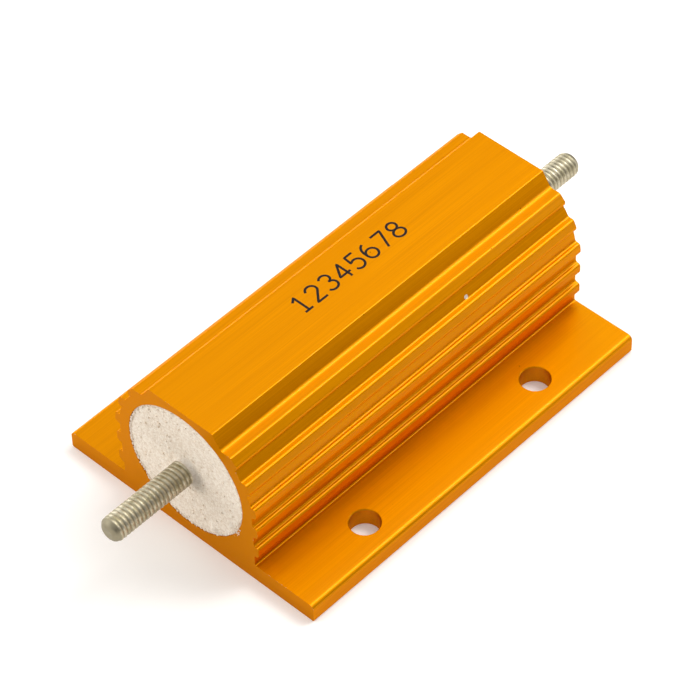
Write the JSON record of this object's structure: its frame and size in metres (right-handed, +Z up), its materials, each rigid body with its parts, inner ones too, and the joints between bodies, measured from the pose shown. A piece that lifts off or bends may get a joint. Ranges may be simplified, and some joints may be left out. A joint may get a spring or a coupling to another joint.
{
  "type": "aluminium housed power resistor",
  "caption": "Power resistor in a finned, flanged aluminium extrusion with a cement filled bore, bolt holes in its flanges and a threaded stud terminal at each end.",
  "frame": {"origin": "centre of the flat mounting face under the housing", "axes": "+X along the housing and its bore, towards the right terminal stud; +Z up, away from the mounting face; +Y across the flanges"},
  "size_m": [0.0949, 0.047, 0.0249],
  "materials": {
    "anodised_aluminium": "gold anodised extrusion",
    "cement": "granular quartz filled cement",
    "steatite": "unglazed steatite",
    "resistance_wire": "drawn resistance alloy",
    "cap_steel": "bright drawn steel",
    "plated_steel": "plated rolled thread"
  },
  "bodies": {
    "root": {"housing": "anodised_aluminium", "cement_fill": "cement", "ceramic_core": "steatite", "resistance_winding": "resistance_wire", "end_cap_left": "cap_steel", "end_cap_right": "cap_steel", "terminal_stud_left": "plated_steel", "terminal_stud_right": "plated_steel"}
  },
  "joints": []
}
